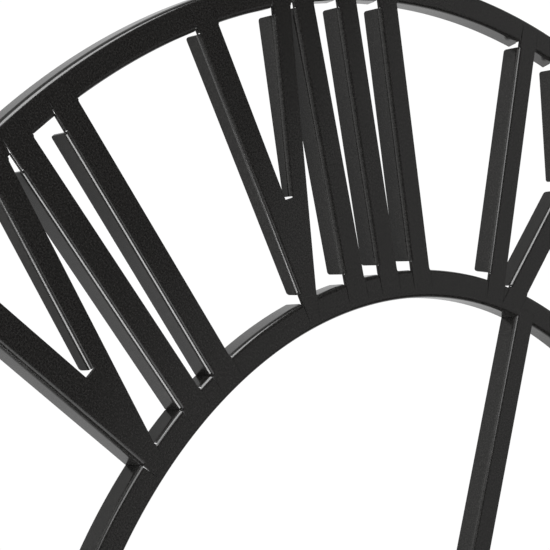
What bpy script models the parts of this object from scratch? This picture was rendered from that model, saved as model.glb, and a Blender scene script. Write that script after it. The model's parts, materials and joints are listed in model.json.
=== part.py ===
"""Garden skeleton wall clock, built as separate pieces.

Frame: metres, +Z towards XII, the dial faces -Y, X runs to the right as it is read. The origin is
the wall screw that the clock hangs on, in the plane of the wall. Every piece is laid out about the
dial's centre, the hands' axis at the front faces of the rings and numerals, and is a child of the
empty that stands there.
"""
import math

import bmesh
import bpy
from mathutils import Matrix

# ---- dial, driving dimensions ----
DIAL_RADIUS = 0.400
OUTER_RING_INNER = 0.3866
INNER_RING_OUTER = 0.2548
INNER_RING_INNER = 0.2409
SHEET = 0.0012            # thickness of the dial's steel sheet
FLANGE = 0.0104           # depth of every edge that is folded back
CLEAR = 0.0003            # gap left between touching pieces
RING_STEPS = 96

# ---- numeral strokes ----
STROKE = 0.0136           # width of a stroke's face
MID_RADIUS = 0.320        # level at which a numeral is laid out
TONGUE = 0.0055           # how far a stroke is let into a ring's face
TOP_STOP = 0.0040         # a stroke's folded edge starts this far from the outer ring
FOOT_STOP = 0.0028        # and ends this far from the inner ring
# Numerals and strokes whose stops differ, and feet that slope back towards the free edge.
TOP_STOPS = {7: 0.0078, 8: 0.0035, 9: 0.0030, "numeral_8_v": 0.0015, "numeral_8_i1": 0.0018}
FOOT_STOPS = {7: 0.0008, 8: 0.0044, 9: 0.0034}
FOOT_SLANTS = {8: 0.0005, 9: 0.0015}
RISING_FOOT_STOP = 0.0008  # the rising arm of an X has a shorter, square foot
# Depth of the folded edge at the outer ring and at the far end, on a V's right and left arm.
V_DEPTHS = ((0.0076, 0.0074), (FLANGE, FLANGE))
V_DEPTHS_SET = {8: ((0.0098, 0.0052), (0.0086, 0.0076))}
CROSS_STOP = 0.003        # a folded edge stops this far from a fork or crossing
FAN = 0.5                 # share of the way that strokes turn towards the centre
V_WIDTH = 0.0370          # of a V at the middle level
V_THIN = 0.0099           # width of a V's right arm at the middle level
V_TAPER = math.radians(1.2)  # its two edges open outwards by this much
V_HALF_ANGLE = math.radians(11.0)
X_WIDTH = 0.0628
X_HALF_ANGLE = math.radians(22.0)
X_RISE = 0.0025           # the arms of an X cross this far outside the middle level
V_TO_I = 0.0112
X_TO_I = 0.0138
I_TO_I = 0.0128
NUMERALS = ("I", "II", "III", "IIII", "V", "VI", "VII", "VIII", "IX", "X", "XI", "XII")
# Three numerals sit unevenly: sideways shift, extra lean in degrees and gap between I strokes.
HAND_SET = {7: (0.0, 1.0, 0.0117), 8: (-0.0044, -0.6, 0.0134), 9: (0.0044, -0.5, I_TO_I)}

# ---- spokes and hub ----
SPOKE_HOURS = (3, 6, 9, 12)
SPOKE_AT_CENTRE = -0.0095  # sideways offset of a spoke's middle line, level with the hands' axis
SPOKE_LEAN = math.radians(1.85)
SPOKE_LAP = 0.0012        # a spoke's folded edge runs this far into the rings it joins
HUB_RADIUS = 0.054
HUB_BORE = 0.0044

# ---- wall fixings ----
WALL_Y = 0.028            # plane of the wall behind the dial's front face
HOOK_Z = 0.379            # height of the wall screw above the dial's centre
BRACKET_PLATE = 0.002
BRACKET_LEG_X = 0.018
PEG_RADIUS = 0.004

# ---- movement, front face at CASE_FRONT ----
CASE_FRONT = 0.0030
CASE_BACK = 0.0200
CASE_HALF_WIDTH = 0.032
CASE_TOP = 0.032
CASE_BOTTOM = -0.040
CASE_WALL = 0.0016
BAY_TOP = -0.0220         # top of the battery bay
GEAR_BOTTOM = -0.0204     # bottom of the gear chamber
LID = 0.0016
BUSH_FRONT = -0.0056
BUSH_RADIUS = 0.0040
BUSH_BORE = 0.0028
BATTERY_RADIUS = 0.00725
BATTERY_LENGTH = 0.0490
BATTERY_Z = -0.0303
BATTERY_Y = 0.0122

# ---- gear train: teeth and modules ----
MOTION_MODULE = 0.0005
HOUR_MODULE = 0.00048
TRAIN_MODULE = 0.0004
CANNON_TEETH = 12
MINUTE_WHEEL_TEETH = 36
HOUR_PINION_TEETH = 10
HOUR_WHEEL_TEETH = 40
CENTRE_TEETH = 48
THIRD_PINION_TEETH = 8
THIRD_TEETH = 36
ROTOR_PINION_TEETH = 8
MOTION_ANGLE = 0.0
THIRD_ANGLE = math.radians(150)
ROTOR_ANGLE = math.radians(120)

# ---- hands, standing at ten past ten ----
HOUR_HAND_ANGLE = math.radians(305)
MINUTE_HAND_ANGLE = math.radians(60)
HOUR_HAND_REACH = 0.200
MINUTE_HAND_REACH = 0.290

FACE_FRONT = Matrix.Rotation(math.pi / 2, 4, "X")   # local Z turns to the front, local Y to the top


def new_collection(name):
    collection = bpy.data.collections.new(name)
    bpy.context.scene.collection.children.link(collection)
    return collection


def clear_scene():
    for obj in list(bpy.data.objects):
        bpy.data.objects.remove(obj, do_unlink=True)


clear_scene()
PARTS = new_collection("garden_clock")
CUTTERS = new_collection("cutters")
DIAL_CENTRE = bpy.data.objects.new("dial_centre", None)
PARTS.objects.link(DIAL_CENTRE)
DIAL_CENTRE.location = (0.0, -WALL_Y, -HOOK_Z)

# colour, roughness, metallic
FINISHES = {
    "black_powder_coat": ((0.020, 0.020, 0.021), 0.50, 0.0),
    "hand_black": ((0.018, 0.018, 0.019), 0.45, 0.0),
    "zinc": ((0.55, 0.56, 0.57), 0.35, 1.0),
    "brass": ((0.78, 0.58, 0.26), 0.30, 1.0),
    "case_plastic": ((0.030, 0.030, 0.032), 0.55, 0.0),
    "nylon": ((0.80, 0.79, 0.74), 0.45, 0.0),
    "rubber": ((0.025, 0.025, 0.025), 0.80, 0.0),
    "copper": ((0.72, 0.32, 0.16), 0.35, 1.0),
    "board_green": ((0.03, 0.17, 0.07), 0.45, 0.0),
    "battery_wrap": ((0.10, 0.11, 0.13), 0.35, 0.2),
}


def add_material(obj, finish):
    colour, roughness, metallic = FINISHES[finish]
    material = bpy.data.materials.new(obj.name)
    material.use_nodes = True
    shader = material.node_tree.nodes["Principled BSDF"]
    shader.inputs["Base Color"].default_value = (*colour, 1.0)
    shader.inputs["Roughness"].default_value = roughness
    shader.inputs["Metallic"].default_value = metallic
    obj.data.materials.clear()
    obj.data.materials.append(material)


def finish_object(obj, finish, smooth_angle=30):
    """A part gets its finish and smooth shading; a cutter (finish None) is hidden."""
    obj.parent = DIAL_CENTRE
    if finish is None:
        CUTTERS.objects.link(obj)
        obj.hide_render = True
        obj.display_type = "WIRE"
        return obj
    PARTS.objects.link(obj)
    add_material(obj, finish)
    obj.data.shade_smooth()
    obj.data.set_sharp_from_angle(angle=math.radians(smooth_angle))
    return obj


def plate(name, outlines, y_front, y_back, finish, centre=(0.0, 0.0), turn=0.0):
    """Flat outline in X and Z, the first loop outside and the rest holes, between two depths."""
    curve = bpy.data.curves.new(name, "CURVE")
    curve.dimensions = "2D"
    curve.fill_mode = "BOTH"
    curve.extrude = (y_back - y_front) / 2
    for loop in outlines:
        spline = curve.splines.new("POLY")
        spline.points.add(len(loop) - 1)
        spline.use_cyclic_u = True
        for point, (x, z) in zip(spline.points, loop):
            point.co = (x, z, 0.0, 1.0)
    guide = bpy.data.objects.new(name + "_outline", curve)
    CUTTERS.objects.link(guide)
    place = Matrix.Translation((centre[0], (y_front + y_back) / 2, centre[1]))
    guide.matrix_world = place @ Matrix.Rotation(turn, 4, "Y") @ FACE_FRONT
    bpy.context.view_layer.update()
    evaluated = guide.evaluated_get(bpy.context.evaluated_depsgraph_get())
    mesh = bpy.data.meshes.new_from_object(evaluated)
    mesh.name = name
    bm = bmesh.new()
    bm.from_mesh(mesh)
    bmesh.ops.remove_doubles(bm, verts=bm.verts, dist=1e-6)
    bm.to_mesh(mesh)
    bm.free()
    obj = bpy.data.objects.new(name, mesh)
    obj.matrix_world = guide.matrix_world.copy()
    bpy.data.objects.remove(guide, do_unlink=True)
    return finish_object(obj, finish)


def turned(name, profile, finish, steps=32, centre=(0.0, 0.0), closed=True):
    """Profile of (radius, y) points, front to back along the outer side, turned about Y."""
    mesh = bpy.data.meshes.new(name)
    edges = [(i, i + 1) for i in range(len(profile) - 1)]
    if closed:
        edges.append((len(profile) - 1, 0))
    mesh.from_pydata([(r, 0.0, -y) for r, y in profile], edges, [])
    obj = bpy.data.objects.new(name, mesh)
    obj.matrix_world = Matrix.Translation((centre[0], 0.0, centre[1])) @ FACE_FRONT
    screw = obj.modifiers.new("turn", "SCREW")
    screw.axis = "Z"
    screw.steps = steps
    screw.render_steps = steps
    screw.use_merge_vertices = True
    screw.merge_threshold = 1e-5
    screw.use_smooth_shade = True
    return finish_object(obj, finish)


def tube(name, inner, outer, y_front, y_back, finish, steps=32, centre=(0.0, 0.0)):
    profile = [(inner, y_front), (outer, y_front), (outer, y_back), (inner, y_back)]
    return turned(name, profile, finish, steps, centre)


def rod(name, radius, y_front, y_back, finish, steps=24, centre=(0.0, 0.0)):
    profile = [(0.0, y_front), (radius, y_front), (radius, y_back), (0.0, y_back)]
    return turned(name, profile, finish, steps, centre, closed=False)


def boolean(obj, tool, operation):
    modifier = obj.modifiers.new(tool.name, "BOOLEAN")
    modifier.operation = operation
    modifier.solver = "EXACT"
    modifier.object = tool


def join_tools(name, tools):
    """Separate cutters that don't touch become one mesh."""
    bm = bmesh.new()
    for tool in tools:
        mesh = tool.data.copy()
        mesh.transform(tool.matrix_basis)
        bm.from_mesh(mesh)
        bpy.data.meshes.remove(mesh)
        bpy.data.objects.remove(tool, do_unlink=True)
    mesh = bpy.data.meshes.new(name)
    bm.to_mesh(mesh)
    bm.free()
    return finish_object(bpy.data.objects.new(name, mesh), None)


def rounded_rectangle(x0, x1, z0, z1, radius, corner_steps=4):
    loop = []
    corners = ((x1 - radius, z0 + radius, 270), (x1 - radius, z1 - radius, 0),
               (x0 + radius, z1 - radius, 90), (x0 + radius, z0 + radius, 180))
    for cx, cz, start in corners:
        for step in range(corner_steps + 1):
            angle = math.radians(start + 90 * step / corner_steps)
            loop.append((cx + radius * math.cos(angle), cz + radius * math.sin(angle)))
    return loop


def circle(radius, steps=24, centre=(0.0, 0.0)):
    return [(centre[0] + radius * math.cos(math.tau * i / steps),
             centre[1] + radius * math.sin(math.tau * i / steps)) for i in range(steps)]


# ---- numeral layout: an edge is a straight line, (u at the middle level, du/dv) ----

def on_circle(line, radius):
    """Point (u, v) where a line in the numeral's frame meets a circle about the dial's centre."""
    u0, slope = line
    base = u0 - slope * MID_RADIUS
    a = 1 + slope * slope
    b = base * slope
    v = (-b + math.sqrt(b * b - a * (base * base - radius * radius))) / a
    return base + slope * v, v


def meeting(first, second):
    v = MID_RADIUS + (second[0] - first[0]) / (first[1] - second[1])
    return first[0] + first[1] * (v - MID_RADIUS), v


def along(line, point, distance):
    """The point on a line that lies a distance outwards from one of its points."""
    step = distance / math.hypot(1.0, line[1])
    return point[0] + line[1] * step, point[1] + step


def stroke_edges(centre_u, tilt):
    half = STROKE / 2 / math.cos(tilt)
    return (centre_u - half, math.tan(tilt)), (centre_u + half, math.tan(tilt))


def fold(depths=(FLANGE, FLANGE), slant=0.0):
    """Depth of a folded edge at its first and last point, and the slope of its last end."""
    return depths, slant


def folded_plate(name, outline, folds, hour):
    """Sheet with an outline (anticlockwise) and some of its edges folded back.

    folds gives each folded edge by the index of its first point; the sheet is an open surface
    that a Solidify thickens towards the back.
    """
    bm = bmesh.new()
    verts = [bm.verts.new((u, 0.0, v)) for u, v in outline]
    bm.faces.new(verts)
    for index, (depths, slant) in folds.items():
        first = verts[index]
        second = verts[(index + 1) % len(verts)]
        run = (second.co - first.co).normalized()
        corners = (first.co, second.co - run * slant)
        loop = [bm.verts.new((co.x, depth, co.z)) for co, depth in zip(corners, depths)]
        bm.faces.new([second, first, *loop])
    mesh = bpy.data.meshes.new(name)
    bm.to_mesh(mesh)
    bm.free()
    obj = bpy.data.objects.new(name, mesh)
    obj.matrix_world = Matrix.Rotation(math.radians(30 * hour), 4, "Y")
    solidify = obj.modifiers.new("sheet", "SOLIDIFY")
    solidify.thickness = SHEET
    solidify.offset = -1.0
    solidify.use_even_offset = True
    return finish_object(obj, "black_powder_coat")


def notch(name, left, right, ring_edge, reach, hour):
    """Pocket in a ring's face and folded edge for the tongue between two edge lines."""
    left = (left[0] - CLEAR, left[1])
    right = (right[0] + CLEAR, right[1])
    end = reach + math.copysign(CLEAR, reach - ring_edge)
    start = ring_edge - math.copysign(0.002, reach - ring_edge)
    loop = [on_circle(left, start), on_circle(right, start), on_circle(right, end), on_circle(left, end)]
    return plate(name, [loop], -0.001, FLANGE + 0.001, None, turn=math.radians(30 * hour))


OUTER_REACH = OUTER_RING_INNER + TONGUE
INNER_REACH = INNER_RING_OUTER - TONGUE


def flange_top(hour, name=None):
    return OUTER_RING_INNER - TOP_STOPS.get(name, TOP_STOPS.get(hour, TOP_STOP))


def flange_foot(hour):
    return INNER_RING_OUTER + FOOT_STOPS.get(hour, FOOT_STOP)


def stroke_i(name, centre_u, tilt, hour, notches):
    left, right = stroke_edges(centre_u, tilt)
    outline = [on_circle(left, INNER_REACH), on_circle(right, INNER_REACH), on_circle(right, OUTER_REACH),
               on_circle(left, OUTER_REACH), on_circle(left, flange_top(hour, name)),
               on_circle(left, flange_foot(hour))]
    folded_plate(name, outline, {4: fold(slant=FOOT_SLANTS.get(hour, 0.0))}, hour)
    notches["outer"].append(notch(name + "_top", left, right, OUTER_RING_INNER, OUTER_REACH, hour))
    notches["inner"].append(notch(name + "_foot", left, right, INNER_RING_OUTER, INNER_REACH, hour))


def glyph_v(name, centre_u, tilt, hour, notches):
    left_outer = (centre_u - V_WIDTH / 2, math.tan(tilt - V_HALF_ANGLE))
    left_inner = (left_outer[0] + STROKE / math.cos(tilt - V_HALF_ANGLE), left_outer[1])
    right_outer = (centre_u + V_WIDTH / 2, math.tan(tilt + V_HALF_ANGLE))
    right_inner = (right_outer[0] - V_THIN / math.cos(tilt + V_HALF_ANGLE),
                   math.tan(tilt + V_HALF_ANGLE - V_TAPER))
    fork = meeting(left_inner, right_inner)
    outline = [on_circle(left_outer, INNER_REACH), on_circle(right_outer, INNER_REACH),
               on_circle(right_outer, OUTER_REACH), on_circle(right_inner, OUTER_REACH),
               on_circle(right_inner, flange_top(hour)), along(right_inner, fork, CROSS_STOP), fork,
               on_circle(left_inner, OUTER_REACH), on_circle(left_outer, OUTER_REACH),
               on_circle(left_outer, flange_top(hour, name)), on_circle(left_outer, flange_foot(hour))]
    right_depths, left_depths = V_DEPTHS_SET.get(hour, V_DEPTHS)
    left_fold = fold(left_depths, FOOT_SLANTS.get(hour, 0.0))
    folded_plate(name, outline, {4: fold(right_depths), 9: left_fold}, hour)
    for side, left, right in (("_left", left_outer, left_inner), ("_right", right_inner, right_outer)):
        notches["outer"].append(notch(name + side, left, right, OUTER_RING_INNER, OUTER_REACH, hour))
    foot = notch(name + "_foot", left_outer, right_outer, INNER_RING_OUTER, INNER_REACH, hour)
    notches["inner"].append(foot)


def glyph_x(name, centre_u, tilt, hour, notches):
    falling = stroke_edges(centre_u - X_RISE * math.tan(tilt - X_HALF_ANGLE), tilt - X_HALF_ANGLE)
    rising = stroke_edges(centre_u - X_RISE * math.tan(tilt + X_HALF_ANGLE), tilt + X_HALF_ANGLE)
    left_fork = meeting(falling[0], rising[0])
    top_fork = meeting(falling[1], rising[0])
    right_fork = meeting(falling[1], rising[1])
    foot_fork = meeting(falling[0], rising[1])
    outline = [
        on_circle(rising[0], INNER_REACH), on_circle(rising[1], INNER_REACH), foot_fork,
        along(falling[0], foot_fork, -CROSS_STOP), on_circle(falling[0], flange_foot(hour)),
        on_circle(falling[0], INNER_REACH), on_circle(falling[1], INNER_REACH), right_fork,
        on_circle(rising[1], OUTER_REACH), on_circle(rising[0], OUTER_REACH),
        on_circle(rising[0], flange_top(hour)), along(rising[0], top_fork, CROSS_STOP), top_fork,
        on_circle(falling[1], OUTER_REACH),
        on_circle(falling[0], OUTER_REACH), on_circle(falling[0], flange_top(hour)),
        along(falling[0], left_fork, CROSS_STOP), left_fork, along(rising[0], left_fork, -CROSS_STOP),
        on_circle(rising[0], INNER_RING_OUTER + RISING_FOOT_STOP)]
    foot_fold = fold(slant=FOOT_SLANTS.get(hour, 0.0))
    folded_plate(name, outline, {3: foot_fold, 10: fold(), 15: fold(), 18: fold()}, hour)
    for side, (left, right) in (("_falling", falling), ("_rising", rising)):
        notches["outer"].append(notch(name + side, left, right, OUTER_RING_INNER, OUTER_REACH, hour))
        foot = notch(name + side + "_foot", left, right, INNER_RING_OUTER, INNER_REACH, hour)
        notches["inner"].append(foot)


GLYPHS = {"I": (STROKE, stroke_i), "V": (V_WIDTH, glyph_v), "X": (X_WIDTH, glyph_x)}


def build_numeral(hour, text, notches):
    shift, lean, i_gap = HAND_SET.get(hour, (0.0, 0.0, I_TO_I))
    gap_after = {"II": i_gap, "VI": V_TO_I, "IX": X_TO_I, "XI": X_TO_I}
    gaps = [gap_after[text[i:i + 2]] for i in range(len(text) - 1)]
    widths = [GLYPHS[letter][0] for letter in text]
    u = shift - (sum(widths) + sum(gaps)) / 2
    count = 0
    for letter, width, gap in zip(text, widths, [*gaps, 0.0]):
        centre_u = u + width / 2
        tilt = FAN * math.atan(centre_u / MID_RADIUS) + math.radians(lean)
        suffix = letter.lower()
        if letter == "I" and text.count("I") > 1:
            count += 1
            suffix += str(count)
        GLYPHS[letter][1](f"numeral_{hour}_{suffix}", centre_u, tilt, hour, notches)
        u += width + gap


def ring(name, inner, outer, cutters):
    """Channel section: flat face, both edges folded back."""
    profile = [(inner, 0.0), (outer, 0.0), (outer, FLANGE), (outer - SHEET, FLANGE),
               (outer - SHEET, SHEET), (inner + SHEET, SHEET), (inner + SHEET, FLANGE), (inner, FLANGE)]
    obj = turned(name, profile, "black_powder_coat", RING_STEPS)
    boolean(obj, cutters, "DIFFERENCE")


def spoke_edges():
    middle = SPOKE_AT_CENTRE + math.tan(SPOKE_LEAN) * MID_RADIUS
    return stroke_edges(middle, SPOKE_LEAN)


def build_spoke(hour, notches):
    left, right = spoke_edges()
    outer_reach = INNER_RING_INNER + TONGUE
    hub_reach = HUB_RADIUS - TONGUE
    outline = [on_circle(left, hub_reach), on_circle(right, hub_reach), on_circle(right, outer_reach),
               on_circle(left, outer_reach), on_circle(left, INNER_RING_INNER + SPOKE_LAP),
               on_circle(left, HUB_RADIUS - SPOKE_LAP)]
    name = f"spoke_{hour}"
    folded_plate(name, outline, {4: fold()}, hour)
    notches["inner"].append(notch(name + "_top", left, right, INNER_RING_INNER, outer_reach, hour))
    notches["hub"].append(notch(name + "_foot", left, right, HUB_RADIUS, hub_reach, hour))


def build_hub(cutters):
    profile = [(HUB_BORE, 0.0), (HUB_RADIUS, 0.0), (HUB_RADIUS, FLANGE), (HUB_RADIUS - SHEET, FLANGE),
               (HUB_RADIUS - SHEET, SHEET), (HUB_BORE, SHEET)]
    obj = turned("hub_cup", profile, "black_powder_coat", 48)
    boolean(obj, cutters, "DIFFERENCE")


def build_dial():
    notches = {"outer": [], "inner": [], "hub": []}
    for hour, text in enumerate(NUMERALS, start=1):
        build_numeral(hour, text, notches)
    for hour in SPOKE_HOURS:
        build_spoke(hour, notches)
    ring("outer_ring", OUTER_RING_INNER, DIAL_RADIUS, join_tools("outer_notches", notches["outer"]))
    ring("inner_ring", INNER_RING_INNER, INNER_RING_OUTER, join_tools("inner_notches", notches["inner"]))
    build_hub(join_tools("hub_notches", notches["hub"]))


def keyhole(z_low, z_high, big, small, steps=8):
    """Round entry hole with a narrow slot above it, one loop."""
    start = math.acos(small / big)
    loop = [(small * math.cos(math.pi * i / steps), z_high + small * math.sin(math.pi * i / steps))
            for i in range(steps + 1)]
    sweep = math.tau - (math.pi - 2 * start)
    for i in range(2 * steps + 1):
        angle = math.pi - start + sweep * i / (2 * steps)
        loop.append((big * math.cos(angle), z_low + big * math.sin(angle)))
    return loop


def build_wall_fixings():
    """Bracket inside the channel of the outer ring at XII, and a peg at VI."""
    foot = SHEET + CLEAR
    outline = rounded_rectangle(-0.025, 0.025, 0.352, 0.3975, 0.004)
    bracket = plate("hanger_bracket", [outline, keyhole(HOOK_Z - 0.014, HOOK_Z, 0.0055, 0.00275)],
                    WALL_Y - BRACKET_PLATE, WALL_Y, "zinc")
    for side in (-1, 1):
        x = side * BRACKET_LEG_X
        end = [(x - 0.0015, 0.3885), (x + 0.0015, 0.3885), (x + 0.0015, 0.3970), (x - 0.0015, 0.3970)]
        leg = plate(f"bracket_leg_{side}", [end], foot, WALL_Y - BRACKET_PLATE / 2, None)
        boolean(bracket, leg, "UNION")
    middle = (OUTER_RING_INNER + DIAL_RADIUS) / 2
    rod("lower_spacer", PEG_RADIUS, foot, WALL_Y, "rubber", centre=(0.0, -middle))


# ---- movement ----

def polar(distance, angle, origin=(0.0, 0.0)):
    return origin[0] + distance * math.cos(angle), origin[1] + distance * math.sin(angle)


def centre_distance(module, first, second):
    return module * (first + second) / 2


MOTION_POST = polar(centre_distance(MOTION_MODULE, CANNON_TEETH, MINUTE_WHEEL_TEETH), MOTION_ANGLE)
THIRD_POST = polar(centre_distance(TRAIN_MODULE, CENTRE_TEETH, THIRD_PINION_TEETH), THIRD_ANGLE)
ROTOR_POST = polar(centre_distance(TRAIN_MODULE, THIRD_TEETH, ROTOR_PINION_TEETH), ROTOR_ANGLE, THIRD_POST)


def gear_outline(teeth, module, tooth_at, gap_at=None):
    """Trapezoid teeth with backlash, one of them pointing at an angle, or a gap pointing there."""
    pitch = math.tau / teeth
    start = tooth_at if gap_at is None else gap_at + pitch / 2
    root = module * (teeth / 2 - 1.15)
    tip = module * (teeth / 2 + 0.80)
    loop = []
    for tooth in range(teeth):
        middle = start + tooth * pitch
        for radius, share in ((root, -0.30), (tip, -0.11), (tip, 0.11), (root, 0.30)):
            loop.append(polar(radius, middle + share * pitch))
    return loop


def gear(name, teeth, module, y_front, y_back, centre=(0.0, 0.0), tooth_at=0.0, gap_at=None):
    """Gear as a tool for a union with its arbor."""
    outline = gear_outline(teeth, module, tooth_at, gap_at)
    return plate(name, [outline], y_front, y_back, None, centre)


def geared_arbor(name, profile, gears, finish, centre=(0.0, 0.0), closed=False):
    arbor = turned(name, profile, finish, 24, centre, closed)
    for tool in gears:
        boolean(arbor, tool, "UNION")


def stepped(*steps):
    """Profile of a solid arbor from (radius, y_front, y_back) steps that follow each other."""
    profile = [(0.0, steps[0][1])]
    for radius, front, back in steps:
        profile += [(radius, front), (radius, back)]
    profile.append((0.0, steps[-1][2]))
    return profile


def build_gear_train():
    centre_gears = [
        gear("cannon_pinion", CANNON_TEETH, MOTION_MODULE, 0.0068, 0.0092, tooth_at=MOTION_ANGLE),
        gear("centre_teeth", CENTRE_TEETH, TRAIN_MODULE, 0.0110, 0.0120, tooth_at=THIRD_ANGLE)]
    geared_arbor("centre_wheel", stepped((0.0012, -0.0150, 0.0177), (0.0006, 0.0177, 0.0193)),
                 centre_gears, "brass")
    motion_gears = [
        gear("minute_wheel_teeth", MINUTE_WHEEL_TEETH, MOTION_MODULE, 0.0076, 0.0086, MOTION_POST,
             gap_at=MOTION_ANGLE + math.pi),
        gear("hour_pinion", HOUR_PINION_TEETH, HOUR_MODULE, 0.0049, 0.0070, MOTION_POST,
             gap_at=MOTION_ANGLE + math.pi)]
    geared_arbor("intermediate_wheel", stepped((0.0006, 0.0038, 0.0052), (0.0010, 0.0052, 0.0226)),
                 motion_gears, "nylon", MOTION_POST)
    hour_profile = [(0.0015, -0.0090), (0.0025, -0.0090), (0.0025, 0.0062), (0.0015, 0.0062)]
    # The hour wheel's web has a bore of its own, because the arbor passes through it.
    web_outline = gear_outline(HOUR_WHEEL_TEETH, HOUR_MODULE, MOTION_ANGLE)
    web = plate("hour_wheel_web", [web_outline, circle(0.0020)], 0.0052, 0.0061, None)
    geared_arbor("hour_wheel", hour_profile, [web], "brass", closed=True)
    third_gears = [
        gear("third_pinion", THIRD_PINION_TEETH, TRAIN_MODULE, 0.0103, 0.0127, THIRD_POST,
             gap_at=THIRD_ANGLE + math.pi),
        gear("third_teeth", THIRD_TEETH, TRAIN_MODULE, 0.0135, 0.0145, THIRD_POST, tooth_at=ROTOR_ANGLE)]
    third_profile = stepped((0.0005, 0.0038, 0.0052), (0.0008, 0.0052, 0.0177), (0.0005, 0.0177, 0.0193))
    geared_arbor("third_wheel", third_profile, third_gears, "nylon", THIRD_POST)
    rotor_pinion = gear("rotor_pinion", ROTOR_PINION_TEETH, TRAIN_MODULE, 0.0130, 0.0149, ROTOR_POST,
                        gap_at=ROTOR_ANGLE + math.pi)
    rotor_profile = stepped((0.0005, 0.0038, 0.0152), (0.0032, 0.0152, 0.0174), (0.0005, 0.0174, 0.0193))
    geared_arbor("rotor", rotor_profile, [rotor_pinion], "zinc", ROTOR_POST)


def build_case():
    shell = rounded_rectangle(-CASE_HALF_WIDTH, CASE_HALF_WIDTH, CASE_BOTTOM, CASE_TOP, 0.006)
    case = plate("movement_case", [shell], CASE_FRONT, CASE_BACK, "case_plastic")
    inside = CASE_HALF_WIDTH - CASE_WALL
    floor = CASE_FRONT + CASE_WALL
    gear_room = rounded_rectangle(-inside, inside, GEAR_BOTTOM, CASE_TOP - CASE_WALL, 0.0044)
    battery_room = rounded_rectangle(-inside, inside, CASE_BOTTOM + CASE_WALL, BAY_TOP, 0.0044)
    for name, outline in (("gear_room", gear_room), ("battery_room", battery_room)):
        boolean(case, plate(name, [outline], floor, CASE_BACK + 0.001, None), "DIFFERENCE")
    boolean(case, rod("bush", BUSH_RADIUS, BUSH_FRONT, floor - 0.0003, None), "UNION")
    boolean(case, rod("bush_bore", BUSH_BORE, BUSH_FRONT - 0.001, floor + 0.001, None), "DIFFERENCE")
    for name, post in (("motion", MOTION_POST), ("third", THIRD_POST), ("rotor", ROTOR_POST)):
        pivot = rod(name + "_pivot", 0.0009, floor - 0.0011, floor + 0.001, None, 12, post)
        boolean(case, pivot, "DIFFERENCE")
    window = rounded_rectangle(-0.020, -0.014, BAY_TOP - 0.001, GEAR_BOTTOM + 0.001, 0.001)
    boolean(case, plate("wire_slot", [window], 0.0150, CASE_BACK + 0.001, None), "DIFFERENCE")


def build_covers():
    inset = 0.0004
    front = CASE_BACK + CLEAR
    rear = rounded_rectangle(-CASE_HALF_WIDTH, CASE_HALF_WIDTH, GEAR_BOTTOM - 0.0004, CASE_TOP, 0.004)
    plate("rear_cover", [rear, circle(0.0016, centre=MOTION_POST)], front, front + LID, "case_plastic")
    door = rounded_rectangle(-CASE_HALF_WIDTH + inset, CASE_HALF_WIDTH - inset, CASE_BOTTOM,
                             GEAR_BOTTOM - 0.0010, 0.004)
    plate("battery_cover", [door], front, front + LID, "case_plastic")
    holes = [circle(0.0009, 12), circle(0.0008, 12, THIRD_POST), circle(0.0008, 12, ROTOR_POST),
             circle(0.0014, 16, MOTION_POST)]
    bearing_top = CASE_TOP - CASE_WALL - 0.0008
    bearing = rounded_rectangle(-0.0295, 0.0295, GEAR_BOTTOM + 0.0008, bearing_top, 0.003)
    plate("bearing_plate", [bearing, *holes], 0.0180, 0.0188, "zinc")


def along_x(name, profile, finish, start, steps=24):
    """Turned piece that lies along X: profile of (radius, distance) from its -X end."""
    obj = turned(name, [(r, -d) for r, d in reversed(profile)], finish, steps, closed=False)
    obj.matrix_basis = Matrix.Translation(start) @ Matrix.Rotation(math.pi / 2, 4, "Y")
    return obj


def build_electrics():
    half = BATTERY_LENGTH / 2
    nub = 0.0012
    along_x("battery", [(0.0, 0.0), (BATTERY_RADIUS, 0.0), (BATTERY_RADIUS, 2 * half), (0.0026, 2 * half),
                        (0.0026, 2 * half + nub), (0.0, 2 * half + nub)],
            "battery_wrap", (-half, BATTERY_Y, BATTERY_Z))
    contacts = (("battery_contact_negative", -half - 0.0012),
                ("battery_contact_positive", half + nub + 0.0012))
    for name, x in contacts:
        blade = plate(name, [[(x - 0.0004, BATTERY_Z - 0.005), (x + 0.0004, BATTERY_Z - 0.005),
                              (x + 0.0004, BATTERY_Z + 0.005), (x - 0.0004, BATTERY_Z + 0.005)]],
                      CASE_FRONT + CASE_WALL + CLEAR, 0.0165, "zinc")
        bump = along_x(name + "_bump", [(0.0, 0.0), (0.002, 0.0), (0.002, 0.0008), (0.0, 0.0008)], None,
                       (x - 0.0006 if x > 0 else x - 0.0002, BATTERY_Y, BATTERY_Z), 12)
        boolean(blade, bump, "UNION")
    spool = [(0.0, 0.0), (0.0012, 0.0), (0.0012, 0.003), (0.0044, 0.003), (0.0044, 0.0038),
             (0.0037, 0.0038), (0.0037, 0.0262), (0.0044, 0.0262), (0.0044, 0.027), (0.0012, 0.027),
             (0.0012, 0.030), (0.0, 0.030)]
    along_x("drive_coil", spool, "copper", (-0.0265, 0.0114, 0.0245))
    stator = [(-0.027, 0.0085), (0.004, 0.0085), (0.004, 0.028), (0.0005, 0.028), (0.0005, 0.0185),
              (-0.0235, 0.0185), (-0.0235, 0.028), (-0.027, 0.028)]
    plate("stator", [stator, circle(0.0037, 24, ROTOR_POST)], 0.0160, 0.0170, "zinc")
    board = rounded_rectangle(0.0075, 0.0295, 0.0125, 0.0292, 0.001)
    plate("circuit_board", [board], 0.0125, 0.0135, "board_green")


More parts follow.
